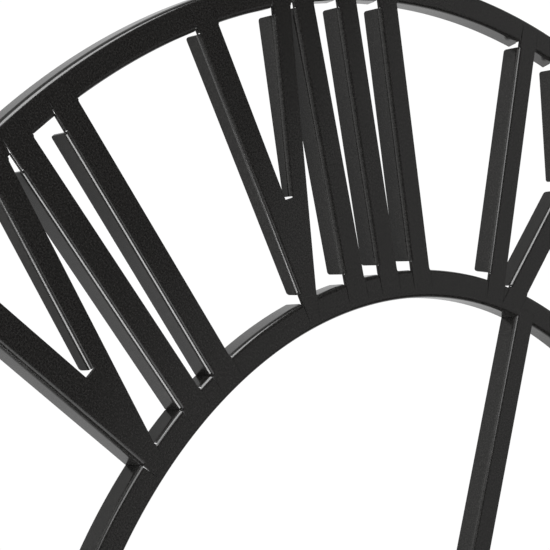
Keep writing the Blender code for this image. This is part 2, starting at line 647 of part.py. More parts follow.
def build_front_stack():
    """What clamps the movement to the hub, and the hands."""
    tube("gasket", HUB_BORE, 0.0130, SHEET + CLEAR, CASE_FRONT - CLEAR, "rubber")
    tube("washer", BUSH_RADIUS + CLEAR, 0.0085, -CLEAR - 0.0010, -CLEAR, "brass")
    hexagon = [polar(0.0070, math.radians(60 * i)) for i in range(6)]
    plate("hex_nut", [hexagon, circle(BUSH_RADIUS + CLEAR)], -0.0046, -0.0016, "brass")
    tube_bore = circle(0.0028)
    plate("hour_hand", [hand_outline(HOUR_HAND_REACH, 0.030, 0.0120, 0.0075), tube_bore], -0.0080, -0.0068,
          "hand_black", turn=HOUR_HAND_ANGLE)
    plate("minute_hand", [hand_outline(MINUTE_HAND_REACH, 0.060, 0.0100, 0.0060), circle(0.0015)],
          -0.0118, -0.0106, "hand_black", turn=MINUTE_HAND_ANGLE)
    cap = [(0.0, -0.0169), (0.0022, -0.0169), (0.0035, -0.0156), (0.0035, -0.0121), (0.0015, -0.0121),
           (0.0015, -0.0158), (0.0, -0.0158)]
    turned("cap_nut", cap, "brass", 24, closed=False)
    grip = [polar(0.0050 if i % 2 else 0.0045, math.radians(10 * i)) for i in range(36)]
    plate("set_knob", [grip, circle(0.0013)], 0.0222, 0.0250, "case_plastic", MOTION_POST)


def hand_outline(reach, tail, root_half, tip_half):
    """Baton hand that points to +Z, with a round boss and a tail."""
    boss = 0.0130
    start = math.asin(root_half / boss)
    tail_half = root_half * 0.8
    tail_start = math.asin(tail_half / boss)
    loop = [(-tip_half, reach - tip_half), (-root_half, boss * math.cos(start))]
    step = (math.pi - start - tail_start) / 6
    side = [(boss * math.sin(start + step * i), boss * math.cos(start + step * i)) for i in range(1, 6)]
    loop += [(-x, z) for x, z in side]
    loop += [(-tail_half, -boss * math.cos(tail_start)), (-tail_half, -tail), (tail_half, -tail),
             (tail_half, -boss * math.cos(tail_start))]
    loop += side[::-1]
    loop += [(root_half, boss * math.cos(start)), (tip_half, reach - tip_half), (0.0, reach)]
    return loop


build_dial()
build_wall_fixings()
build_case()
build_gear_train()
build_covers()
build_electrics()
build_front_stack()
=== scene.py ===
import json
import math

import bmesh
import bpy
from mathutils import Matrix, Vector


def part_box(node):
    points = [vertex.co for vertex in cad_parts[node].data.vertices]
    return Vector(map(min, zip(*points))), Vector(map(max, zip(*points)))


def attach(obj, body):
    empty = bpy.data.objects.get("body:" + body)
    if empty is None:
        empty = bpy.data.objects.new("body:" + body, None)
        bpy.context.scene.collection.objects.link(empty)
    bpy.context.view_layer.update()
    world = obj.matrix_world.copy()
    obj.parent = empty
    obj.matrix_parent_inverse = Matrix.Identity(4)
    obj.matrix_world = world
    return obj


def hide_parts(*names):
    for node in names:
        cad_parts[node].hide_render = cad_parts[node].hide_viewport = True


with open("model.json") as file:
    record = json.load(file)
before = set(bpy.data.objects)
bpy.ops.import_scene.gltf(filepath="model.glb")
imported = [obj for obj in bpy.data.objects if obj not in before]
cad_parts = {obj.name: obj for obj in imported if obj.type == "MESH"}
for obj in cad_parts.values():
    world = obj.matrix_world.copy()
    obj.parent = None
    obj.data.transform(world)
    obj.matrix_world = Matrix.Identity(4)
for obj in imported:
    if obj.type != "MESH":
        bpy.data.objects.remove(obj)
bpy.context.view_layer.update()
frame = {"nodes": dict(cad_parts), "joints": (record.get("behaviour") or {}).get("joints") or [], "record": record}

# ---- where things are, from the frame ----
hands_joint = next(j for j in frame["joints"] if j["name"] == "minute_hand_turn")
CENTRE = Vector(hands_joint["pos_m"])
ring_low, ring_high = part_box("outer_ring")
inner_low, inner_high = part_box("inner_ring")
FRONT = ring_low.y                           # plane of the dial's front faces
FLANGE = ring_high.y - ring_low.y            # depth of the folded edges
OUTER_OUT = (ring_high.x - ring_low.x) / 2
INNER_OUT = (inner_high.x - inner_low.x) / 2

# ---- the dial's sheet metal, metres ----
OUTER_IN = 0.3866                            # inner radius of the outer ring
INNER_IN = 0.2409                            # inner radius of the inner ring
HUB = 0.054                                  # radius of the hub cup
HUB_BORE = 0.0044                            # radius of the hole for the movement's shaft
SHEET = 0.0012
BEND = 0.0022                                # outside radius of every fold
LIP = 0.0002                                 # chamfer on the free edges of the rings and the hub cup
FLANGE_CORNER = 0.0014                       # corner radius at both ends of a stroke's folded edge
EDGE_SOFTNESS = 0.0001                       # rounding of the sheet's cut edges
SOFTEN_FROM = math.radians(50)               # where its faces turn by at least this much
STROKE = 0.0136                              # width of a stroke
MID = 0.320                                  # radius at which a numeral is laid out
TOP_STOP = 0.0040                            # a fold starts this far from the outer ring
FOOT_STOP = 0.0028                           # and ends this far from the inner ring
# Numerals and strokes whose stops differ, and feet that slope back towards the free edge.
TOP_STOPS = {7: 0.0078, 8: 0.0035, 9: 0.0030, "numeral_8_v": 0.0015, "numeral_8_i1": 0.0018}
FOOT_STOPS = {7: -0.0006, 8: 0.0044, 9: 0.0034}
FOOT_SLANTS = {8: 0.0005, 9: 0.0015}
RISING_FOOT_STOP = 0.0008                    # the rising arm of an X has a shorter, square foot
# Depth of the folded edge at the outer ring and at the far end, on a V's right and left arm.
V_DEPTHS = ((0.0076, 0.0074), (FLANGE, FLANGE))
V_DEPTHS_SET = {8: ((0.0098, 0.0052), (0.0086, 0.0076))}
RELIEF = 0.0004                              # height of the step from a fold's end to a stroke's tip
TOP_INSET = 0.00115                          # the tip in the outer ring starts this far inside the stroke
FOOT_INSET = 0.0007                          # and the tip in the inner ring this far
TONGUE = 0.0098                              # how far a stroke reaches into a ring's face
FAN = 0.5                                    # share of the dial's fan that the strokes of a numeral follow
V_WIDTH = 0.0370
V_THIN = 0.0114                              # width of a V's right arm at the middle level
V_TAPER = math.radians(0.5)                  # its two edges open outwards by this much
V_HALF = math.radians(11.0)                  # lean of each arm
V_NOTCH = 0.0150                             # the notch of a V is closed this far before its edges meet
X_WIDTH = 0.0628
X_HALF = math.radians(22.0)
X_RISE = 0.0025                              # the arms of an X cross this far outside the middle level
X_FORK_GAP = 0.004                           # an X's folds stop this far from where its arms meet
V_TO_I = 0.0112                              # gaps between neighbouring letters
X_TO_I = 0.0138
I_TO_I = 0.0128
NUMERALS = ("I", "II", "III", "IIII", "V", "VI", "VII", "VIII", "IX", "X", "XI", "XII")
# Numerals that stand unevenly: sideways shift, lean in degrees and gap between their I strokes.
HAND_SET = {7: (0.0, 1.0, 0.0117), 8: (-0.0044, -0.6, 0.0134), 9: (0.0044, -0.5, I_TO_I)}
SPOKE_HOURS = (3, 6, 9, 12)
SPOKE_AT_CENTRE = -0.0095                    # a spoke's axis passes the centre at this distance
SPOKE_LEAN = math.radians(1.85)
SPOKE_LAP = 0.0012                           # a spoke's folded edge runs this far into the rings it joins
SPOKE_TONGUE = 0.0055                        # and its face this far into their faces

# ---- how strokes are let into the rings, metres ----
SEAM = 0.0001                                # closed joint between a tongue and its ring
SLIT_REACH = 0.75                            # share of a ring's face that the slit crosses
FLARE = ((0.0, 0.0005), (0.0005, 0.0001), (0.0011, 0.0))  # (distance from the ring, extra width)
CUT_START = 0.003                            # every cutter starts this far outside the ring's edge
FACE_CUT = (-0.002, BEND + SHEET + 0.0002)   # depths between which a ring's face is cut for a tongue
POCKET_CUT = (-0.002, SHEET + 0.0003)        # and for a spoke
EDGE_CUT = (SHEET * 0.5, FLANGE + 0.002)     # depths between which a ring's folded edge is cut
WINDOW_REACH = BEND + 0.0003                 # how far that cut reaches into the ring at a stroke
SPOKE_REACH = SHEET + 0.0004                 # and at a spoke
WINDOW_PAST = 0.0022                         # a ring's folded edge is open this far past the stroke
WINDOW_LEAN = {"outer": 0.0045, "inner": -0.0001}  # slope of the end of a ring's folded edge at a stroke
SPOKE_WINDOW = 0.0003                        # the opening for a spoke is this much wider on each side
STRIP_SIDES = (0.0001, 0.00055)              # the strip beside a slit: its sides, inside the stroke
STRIP_DEPTHS = (0.0003, 0.0011)              # its front and back
STRIP_LAPS = (0.0008, 0.0012)                # and its laps onto the fold's end and the ring

ARC_STEPS = 6                                # faces across a fold's outside
INSIDE_STEPS = 2                             # and across its inside
CORNER_STEPS = 3
OUTER_RING_STEPS = 720
INNER_RING_STEPS = 540
HUB_STEPS = 180


# ------------------------------------------------------------------ camera
# It stands in front of the dial, low and close, and looks up along it with its right side turned up.
LENS_MM = 105.08
SENSOR_MM = 36.0
CAMERA_FROM_CENTRE = Vector((-0.007132, -0.513376, -0.649564))
CAMERA_RIGHT = Vector((-0.20017, -0.69963, 0.68590))
CAMERA_DOWN = Vector((0.94150, 0.05638, 0.33228))
CAMERA_FORWARD = Vector((-0.27114, 0.71228, 0.64741))


def place_camera():
    data = bpy.data.cameras.new("camera")
    data.lens = LENS_MM
    data.sensor_width = SENSOR_MM
    data.clip_start = 0.01
    camera = bpy.data.objects.new("camera", data)
    bpy.context.scene.collection.objects.link(camera)
    turn = Matrix((CAMERA_RIGHT, -CAMERA_DOWN, -CAMERA_FORWARD)).transposed().to_4x4()
    camera.matrix_world = Matrix.Translation(CENTRE + CAMERA_FROM_CENTRE) @ turn
    bpy.context.scene.camera = camera


place_camera()


# ------------------------------------------------------------------ materials
def new_material(name, colour, roughness, metallic=0.0, **sockets):
    material = bpy.data.materials.new(name)
    material.use_nodes = True
    shader = material.node_tree.nodes["Principled BSDF"]
    shader.inputs["Base Color"].default_value = (*colour, 1.0)
    shader.inputs["Roughness"].default_value = roughness
    shader.inputs["Metallic"].default_value = metallic
    for socket, value in sockets.items():
        shader.inputs[socket.replace("_", " ")].default_value = value
    return material, material.node_tree, shader


NOISE_ROUGHNESS = 0.55
NOISE_MIDDLE = (0.3, 0.7)                    # the range that nearly all of a noise texture lies in
WAVE_PERIOD = 0.314                          # pitch of a wave texture at scale 1


def noise(tree, scale, detail=3.0):
    where = tree.nodes.new("ShaderNodeTexCoord")
    texture = tree.nodes.new("ShaderNodeTexNoise")
    texture.inputs["Scale"].default_value = scale
    texture.inputs["Detail"].default_value = detail
    texture.inputs["Roughness"].default_value = NOISE_ROUGHNESS
    tree.links.new(where.outputs["Object"], texture.inputs["Vector"])
    return texture.outputs["Fac"]


def ramp(tree, source, low, high, first, last):
    """Colour ramp from first to last between two levels of a texture."""
    node = tree.nodes.new("ShaderNodeValToRGB")
    node.color_ramp.elements[0].position = low
    node.color_ramp.elements[1].position = high
    node.color_ramp.elements[0].color = (*first, 1.0)
    node.color_ramp.elements[1].color = (*last, 1.0)
    tree.links.new(source, node.inputs["Fac"])
    return node.outputs["Color"]


def spread(tree, source, low, high):
    """A texture stretched to a range of values."""
    node = tree.nodes.new("ShaderNodeMapRange")
    node.inputs["From Min"].default_value = NOISE_MIDDLE[0]
    node.inputs["From Max"].default_value = NOISE_MIDDLE[1]
    node.inputs["To Min"].default_value = low
    node.inputs["To Max"].default_value = high
    tree.links.new(source, node.inputs["Value"])
    return node.outputs["Result"]


def bump(tree, shader, source, strength, distance, after=None):
    """Relief of a given height in metres, on top of an earlier one if there is one."""
    node = tree.nodes.new("ShaderNodeBump")
    node.inputs["Strength"].default_value = strength
    node.inputs["Distance"].default_value = distance
    tree.links.new(source, node.inputs["Height"])
    if after is not None:
        tree.links.new(after, node.inputs["Normal"])
    tree.links.new(node.outputs["Normal"], shader.inputs["Normal"])
    return node.outputs["Normal"]


def stretched(tree, scale, stretch):
    """Noise drawn out along an axis, for brushed and turned metal."""
    where = tree.nodes.new("ShaderNodeTexCoord")
    mapping = tree.nodes.new("ShaderNodeMapping")
    mapping.inputs["Scale"].default_value = stretch
    texture = tree.nodes.new("ShaderNodeTexNoise")
    texture.inputs["Scale"].default_value = scale
    texture.inputs["Detail"].default_value = 3.0
    tree.links.new(where.outputs["Object"], mapping.inputs["Vector"])
    tree.links.new(mapping.outputs["Vector"], texture.inputs["Vector"])
    return texture.outputs["Fac"]


def bands(tree, axis, pitch, distortion):
    """Parallel bands of a given pitch along an axis, such as the turns of a winding."""
    where = tree.nodes.new("ShaderNodeTexCoord")
    texture = tree.nodes.new("ShaderNodeTexWave")
    texture.bands_direction = axis
    texture.inputs["Scale"].default_value = WAVE_PERIOD / pitch
    texture.inputs["Distortion"].default_value = distortion
    tree.links.new(where.outputs["Object"], texture.inputs["Vector"])
    return texture.outputs["Fac"]


def powder_coat():
    material, tree, shader = new_material("black_powder_coat", (0.012, 0.0115, 0.011), 0.24)
    grain = noise(tree, 1300.0, 2.0)
    colour = ramp(tree, grain, 0.38, 0.66, (0.0062, 0.006, 0.0058), (0.019, 0.0183, 0.0175))
    tree.links.new(colour, shader.inputs["Base Color"])
    tree.links.new(spread(tree, noise(tree, 30.0), 0.14, 0.21), shader.inputs["Roughness"])
    wavy = bump(tree, shader, noise(tree, 90.0, 2.0), 0.25, 0.0002)
    bump(tree, shader, noise(tree, 1400.0, 2.0), 0.30, 0.00004, wavy)
    return material


def hand_paint():
    material, tree, shader = new_material("hand_black", (0.011, 0.011, 0.0115), 0.30)
    colour = ramp(tree, noise(tree, 900.0, 2.0), 0.3, 0.75, (0.009, 0.009, 0.0095), (0.016, 0.016, 0.0165))
    tree.links.new(colour, shader.inputs["Base Color"])
    tree.links.new(spread(tree, noise(tree, 45.0), 0.26, 0.36), shader.inputs["Roughness"])
    bump(tree, shader, noise(tree, 700.0, 2.0), 0.2, 0.00003)
    return material


def zinc_plate():
    material, tree, shader = new_material("zinc_plate", (0.58, 0.59, 0.60), 0.34, 1.0)
    colour = ramp(tree, noise(tree, 120.0, 4.0), 0.3, 0.75, (0.50, 0.51, 0.53), (0.68, 0.67, 0.62))
    tree.links.new(colour, shader.inputs["Base Color"])
    brushed = stretched(tree, 300.0, (0.06, 1.0, 1.0))
    tree.links.new(spread(tree, brushed, 0.26, 0.46), shader.inputs["Roughness"])
    bump(tree, shader, stretched(tree, 900.0, (0.05, 1.0, 1.0)), 0.25, 0.00003)
    return material


def turned_brass():
    material, tree, shader = new_material("brass", (0.78, 0.57, 0.25), 0.24, 1.0)
    colour = ramp(tree, noise(tree, 160.0, 4.0), 0.3, 0.78, (0.66, 0.45, 0.17), (0.85, 0.64, 0.31))
    tree.links.new(colour, shader.inputs["Base Color"])
    tree.links.new(spread(tree, noise(tree, 400.0), 0.18, 0.34), shader.inputs["Roughness"])
    bump(tree, shader, stretched(tree, 500.0, (1.0, 6.0, 1.0)), 0.22, 0.00002)
    return material


def case_plastic():
    material, tree, shader = new_material("case_plastic", (0.028, 0.028, 0.030), 0.55)
    colour = ramp(tree, noise(tree, 60.0, 3.0), 0.3, 0.75, (0.024, 0.024, 0.026), (0.036, 0.036, 0.038))
    tree.links.new(colour, shader.inputs["Base Color"])
    tree.links.new(spread(tree, noise(tree, 220.0), 0.48, 0.64), shader.inputs["Roughness"])
    bump(tree, shader, noise(tree, 3200.0, 2.0), 0.45, 0.00005)
    return material


def nylon():
    material, tree, shader = new_material("nylon", (0.80, 0.79, 0.74), 0.42, Subsurface_Weight=0.12,
                                          Subsurface_Scale=0.001)
    colour = ramp(tree, noise(tree, 90.0, 3.0), 0.3, 0.75, (0.74, 0.73, 0.67), (0.84, 0.83, 0.79))
    tree.links.new(colour, shader.inputs["Base Color"])
    tree.links.new(spread(tree, noise(tree, 300.0), 0.36, 0.50), shader.inputs["Roughness"])
    bump(tree, shader, noise(tree, 1200.0, 2.0), 0.15, 0.00003)
    return material


def rubber():
    material, tree, shader = new_material("rubber", (0.020, 0.020, 0.020), 0.78)
    colour = ramp(tree, noise(tree, 500.0, 3.0), 0.3, 0.75, (0.016, 0.016, 0.016), (0.030, 0.029, 0.028))
    tree.links.new(colour, shader.inputs["Base Color"])
    tree.links.new(spread(tree, noise(tree, 150.0), 0.70, 0.88), shader.inputs["Roughness"])
    bump(tree, shader, noise(tree, 2200.0, 2.0), 0.4, 0.00005)
    return material


def copper_winding():
    material, tree, shader = new_material("copper", (0.72, 0.32, 0.16), 0.28, 1.0, Coat_Weight=0.5,
                                          Coat_Roughness=0.1)
    turns = bands(tree, "X", 0.00022, 0.4)
    # The colour darkens to a deep brown in the grooves between turns: painted shade where the round wires meet.
    colour = ramp(tree, turns, 0.1, 0.9, (0.32, 0.11, 0.045), (0.80, 0.38, 0.19))
    tree.links.new(colour, shader.inputs["Base Color"])
    bump(tree, shader, turns, 0.7, 0.00006)
    return material


def board_lacquer():
    material, tree, shader = new_material("board_green", (0.03, 0.17, 0.07), 0.32, Coat_Weight=0.4,
                                          Coat_Roughness=0.15)
    tracks = bands(tree, "X", 0.0026, 2.2)
    colour = ramp(tree, tracks, 0.44, 0.52, (0.020, 0.115, 0.050), (0.055, 0.235, 0.095))
    tree.links.new(colour, shader.inputs["Base Color"])
    tree.links.new(spread(tree, noise(tree, 260.0), 0.26, 0.40), shader.inputs["Roughness"])
    bump(tree, shader, tracks, 0.3, 0.00004)
    return material


def battery_wrap():
    material, tree, shader = new_material("battery_wrap", (0.10, 0.11, 0.13), 0.30, 0.65)
    colour = ramp(tree, stretched(tree, 40.0, (1.0, 0.15, 0.15)), 0.3, 0.75, (0.080, 0.088, 0.105),
                  (0.125, 0.135, 0.155))
    tree.links.new(colour, shader.inputs["Base Color"])
    tree.links.new(spread(tree, noise(tree, 240.0), 0.24, 0.38), shader.inputs["Roughness"])
    bump(tree, shader, noise(tree, 420.0, 2.0), 0.12, 0.00003)
    return material


COAT = powder_coat()
FINISHES = {
    "hand_black": hand_paint(),
    "zinc_plate": zinc_plate(),
    "brass": turned_brass(),
    "case_plastic": case_plastic(),
    "nylon": nylon(),
    "rubber": rubber(),
    "copper": copper_winding(),
    "board_green": board_lacquer(),
    "battery_wrap": battery_wrap(),
}


# ------------------------------------------------------------------ mesh helpers
SMOOTH_UP_TO = math.radians(35)
FLAT_FACE_WEIGHT = 90


def new_object(name, mesh):
    obj = bpy.data.objects.new(name, mesh)
    bpy.context.scene.collection.objects.link(obj)
    return obj


def settle(obj):
    """Applies the modifiers, coats the piece and shades it smooth, with flat faces kept flat."""
    bpy.context.view_layer.update()
    evaluated = obj.evaluated_get(bpy.context.evaluated_depsgraph_get())
    mesh = bpy.data.meshes.new_from_object(evaluated)
    obj.modifiers.clear()
    obj.data = mesh
    mesh.shade_smooth()
    mesh.set_sharp_from_angle(angle=SMOOTH_UP_TO)
    mesh.materials.clear()
    mesh.materials.append(COAT)
    weighted = obj.modifiers.new("weighted", "WEIGHTED_NORMAL")
    weighted.keep_sharp = True
    weighted.weight = FLAT_FACE_WEIGHT


def on_circle(line, radius):
    """Point (u, v) where a line (u at the middle level, du/dv) meets a circle about the centre."""
    u0, slope = line
    base = u0 - slope * MID
    a = 1 + slope * slope
    b = base * slope
    v = (-b + math.sqrt(b * b - a * (base * base - radius * radius))) / a
    return Vector((base + slope * v, v))


def meeting(first, second):
    """Point (u, v) where two lines cross."""
    v = MID + (second[0] - first[0]) / (first[1] - second[1])
    return Vector((first[0] + first[1] * (v - MID), v))


def direction(line):
    """Unit vector along a line, away from the centre."""
    return Vector((line[1], 1.0)).normalized()


def beside(line, distance):
    """The same line moved to the right by a distance."""
    return (line[0] + distance * math.hypot(1.0, line[1]), line[1])


def stroke_edges(centre_u, tilt):
    """Left and right line of a straight stroke."""
    half = STROKE / 2 / math.cos(tilt)
    return (centre_u - half, math.tan(tilt)), (centre_u + half, math.tan(tilt))


def hour_matrix(hour):
    """Places what is drawn upright, with the centre at the origin, at an hour of the dial."""
    turn = Matrix.Rotation(math.radians(30 * hour), 4, "Y")
    return Matrix.Translation((CENTRE.x, FRONT, CENTRE.z)) @ turn


# ------------------------------------------------------------------ folded sheet
def fold(depths=(FLANGE, FLANGE), slant=0.0):
    """Depth of a folded edge at its first and last point, and the slope of its last end."""
    return depths, slant


def folded_sheet(name, outline, folds, hour):
    """Flat outline in (u, v), anticlockwise, with folds at some of its edges.

    folds gives each folded edge by the index of the outline point where it starts. There the
    outline runs along the line where the bend begins, and the fold turns from it to the back.
    """
    bm = bmesh.new()
    verts = [bm.verts.new((p.x, 0.0, p.y)) for p in outline]
    bm.faces.new(verts)
    count = len(verts)
    for index, (depths, slant) in folds.items():
        first = verts[index]
        second = verts[(index + 1) % count]
        along = (second.co - first.co).normalized()
        side = Vector((along.z, 0.0, -along.x))      # away from the face
        rows = []
        for step in range(1, ARC_STEPS + 1):
            turn = math.radians(90) * step / ARC_STEPS
            away = side * BEND * math.sin(turn)
            drop = BEND * (1 - math.cos(turn))
            rows.append((away, (drop, drop), 0.0))
        for step in range(CORNER_STEPS + 1):
            turn = math.radians(90) * step / CORNER_STEPS
            drops = [depth - FLANGE_CORNER * (1 - math.sin(turn)) for depth in depths]
            rows.append((side * BEND, drops, FLANGE_CORNER * (1 - math.cos(turn))))
        last_pair = (first, second)
        for away, drops, rounding in rows:
            trim = slant * drops[1] / depths[1] + rounding
            ends = (first.co + along * rounding, second.co - along * trim)
            pair = [bm.verts.new(end + away + Vector((0.0, drop, 0.0))) for end, drop in zip(ends, drops)]
            bm.faces.new([last_pair[1], last_pair[0], *pair])
            last_pair = pair
    bmesh.ops.recalc_face_normals(bm, faces=bm.faces)
    mesh = bpy.data.meshes.new(name)
    bm.to_mesh(mesh)
    bm.free()
    if mesh.polygons[0].normal.y > 0:
        mesh.flip_normals()
    obj = new_object(name, mesh)
    obj.matrix_world = hour_matrix(hour)
    solidify = obj.modifiers.new("sheet", "SOLIDIFY")
    solidify.thickness = SHEET
    solidify.offset = -1.0
    solidify.use_even_offset = True
    soften = obj.modifiers.new("soft_edges", "BEVEL")
    soften.width = EDGE_SOFTNESS
    soften.segments = 2
    soften.limit_method = "ANGLE"
    soften.angle_limit = SOFTEN_FROM
    settle(obj)
    return obj


def ring_end(edge, ring_edge, sign):
    """Points of a stroke's plain edge where it flares into a ring, from the stroke to the ring."""
    return [on_circle(beside(edge, out), ring_edge - sign * back) for back, out in reversed(FLARE)]


cutters = {"outer": [], "inner": [], "hub": []}
strips = []


def prism(points, depths, hour, back_points=None):
    """Mesh between an outline at the first depth and the same or another one at the second."""
    bm = bmesh.new()
    front = [bm.verts.new((p.x, depths[0], p.y)) for p in points]
    back = [bm.verts.new((p.x, depths[1], p.y)) for p in back_points or points]
    bm.faces.new(front)
    bm.faces.new(reversed(back))
    for i in range(len(points)):
        j = (i + 1) % len(points)
        bm.faces.new([front[j], front[i], back[i], back[j]])
    bmesh.ops.recalc_face_normals(bm, faces=bm.faces)
    bm.transform(hour_matrix(hour))
    mesh = bpy.data.meshes.new("prism")
    bm.to_mesh(mesh)
    bm.free()
    return mesh


def patch(near, far, start, end):
    """Corners of the area between two lines and two circles about the centre."""
    return [on_circle(near, start), on_circle(near, end), on_circle(far, end), on_circle(far, start)]


def let_in(ring, slit_from, left, right, ring_edge, far_edge, hour):
    """Cuts a ring's face for a tongue between two lines, and its folded edge beside the stroke.

    left is the tongue's left line and slit_from the left side of the slit beside it, which is
    open at the ring's edge and closes at SLIT_REACH of the way to far_edge.
    """
    sign = math.copysign(1.0, far_edge - ring_edge)
    reach = ring_edge + sign * (TONGUE - SEAM)
    slit_end = ring_edge + (far_edge - ring_edge) * SLIT_REACH
    before = ring_edge - sign * CUT_START
    wide = beside(right, FLARE[0][1] + SEAM)
    points = [on_circle(slit_from, before), on_circle(slit_from, ring_edge),
              on_circle(beside(left, -SEAM), slit_end), on_circle(beside(left, -SEAM), reach),
              on_circle(wide, reach), on_circle(wide, before)]
    cutters[ring].append(prism(points, FACE_CUT, hour))
    end = ring_edge + sign * WINDOW_REACH
    far = beside(right, WINDOW_PAST)
    front = patch(beside(slit_from, -SEAM), far, before, end)
    back = patch(beside(slit_from, WINDOW_LEAN[ring]), far, before, end)
    cutters[ring].append(prism(front, EDGE_CUT, hour, back))


def outer_tip(left, right):
    """A stroke's end in the outer ring: up the right edge, across and back down the left."""
    points = ring_end(right, OUTER_IN, 1)
    wide = beside(right, FLARE[0][1])
    points += [on_circle(wide, OUTER_IN + TONGUE), on_circle(left, OUTER_IN + TONGUE)]
    return points


def inner_tip(left, right):
    """A stroke's end in the inner ring: down the left edge, across and back up the right."""
    wide = beside(right, FLARE[0][1])
    points = [on_circle(left, INNER_OUT - TONGUE), on_circle(wide, INNER_OUT - TONGUE)]
    return points + list(reversed(ring_end(right, INNER_OUT, -1)))


def fold_line(left):
    """Where the face ends and the bend starts, from the stroke's outer line."""
    return beside(left, BEND)


def outer_line(start):
    """The stroke's outer line, from the line where its bend starts."""
    return beside(start, -BEND)


def inside(start, inset):
    """A line this far inside the stroke's outline, where start is the line where its bend starts."""
    return beside(start, inset - BEND)


def add_strip(start, near, far, hour):
    """Narrow strip that the slit leaves standing between a fold's end and a ring."""
    left, right = (inside(start, side) for side in STRIP_SIDES)
    corners = [on_circle(left, near), on_circle(right, near), on_circle(right, far), on_circle(left, far)]
    strips.append(prism(corners, STRIP_DEPTHS, hour))


def top_of_fold(start, hour, name=None):
    """Radius at which a fold starts below the outer ring, with the strip beyond it."""
    top = OUTER_IN - TOP_STOPS.get(name, TOP_STOPS.get(hour, TOP_STOP))
    add_strip(start, top - STRIP_LAPS[0], OUTER_IN + STRIP_LAPS[1], hour)
    return top


def foot_of_fold(start, hour, stop=None):
    """Radius at which a fold ends above the inner ring, with the strip beyond it."""
    foot = INNER_OUT + (stop or FOOT_STOPS.get(hour, FOOT_STOP))
    add_strip(start, INNER_OUT - STRIP_LAPS[1], foot + STRIP_LAPS[0], hour)
    return foot


def stroke_i(name, centre_u, tilt, hour):
    """A straight stroke with its left edge folded back."""
    left, right = stroke_edges(centre_u, tilt)
    start = fold_line(left)
    top_cut = inside(start, TOP_INSET)
    foot_cut = inside(start, FOOT_INSET)
    top = top_of_fold(start, hour, name)
    foot = foot_of_fold(start, hour)
    outline = inner_tip(foot_cut, right) + outer_tip(top_cut, right) + [on_circle(top_cut, top + RELIEF)]
    folds = {len(outline): fold(slant=FOOT_SLANTS.get(hour, 0.0))}
    outline += [on_circle(start, top), on_circle(start, foot), on_circle(foot_cut, foot - RELIEF)]
    obj = folded_sheet(f"{name}_sheet", outline, folds, hour)
    slit = outer_line(start)
    let_in("outer", slit, top_cut, right, OUTER_IN, OUTER_OUT, hour)
    let_in("inner", slit, foot_cut, right, INNER_OUT, INNER_IN, hour)
    return obj


def glyph_v(name, centre_u, tilt, hour):
    """A V in one plate, with the left edge of both arms folded back."""
    left_outer = (centre_u - V_WIDTH / 2, math.tan(tilt - V_HALF))
    left_inner = (left_outer[0] + STROKE / math.cos(tilt - V_HALF), left_outer[1])
    right_outer = (centre_u + V_WIDTH / 2, math.tan(tilt + V_HALF))
    right_inner = (right_outer[0] - V_THIN / math.cos(tilt + V_HALF), math.tan(tilt + V_HALF - V_TAPER))
    left_start = fold_line(left_outer)
    right_start = fold_line(right_inner)
    fork = meeting(left_inner, right_start)
    left_cut = inside(left_start, TOP_INSET)
    right_cut = inside(right_start, TOP_INSET)
    foot_cut = inside(left_start, FOOT_INSET)
    right_top = top_of_fold(right_start, hour)
    left_top = top_of_fold(left_start, hour, name)
    foot = foot_of_fold(left_start, hour)
    right_depths, left_depths = V_DEPTHS_SET.get(hour, V_DEPTHS)
    outline = inner_tip(foot_cut, right_outer) + outer_tip(right_cut, right_outer)
    outline += [on_circle(right_cut, right_top + RELIEF)]
    folds = {len(outline): fold(right_depths)}
    outline += [on_circle(right_start, right_top), fork + direction(right_start) * (V_NOTCH + RELIEF)]
    outline += [fork + direction(edge) * V_NOTCH for edge in (right_start, left_inner)]
    outline += outer_tip(left_cut, left_inner) + [on_circle(left_cut, left_top + RELIEF)]
    folds[len(outline)] = fold(left_depths, FOOT_SLANTS.get(hour, 0.0))
    outline += [on_circle(left_start, left_top), on_circle(left_start, foot)]
    outline += [on_circle(foot_cut, foot - RELIEF)]
    obj = folded_sheet(f"{name}_sheet", outline, folds, hour)
    left_slit = outer_line(left_start)
    let_in("outer", left_slit, left_cut, left_inner, OUTER_IN, OUTER_OUT, hour)
    let_in("outer", outer_line(right_start), right_cut, right_outer, OUTER_IN, OUTER_OUT, hour)
    let_in("inner", left_slit, foot_cut, right_outer, INNER_OUT, INNER_IN, hour)
    return obj


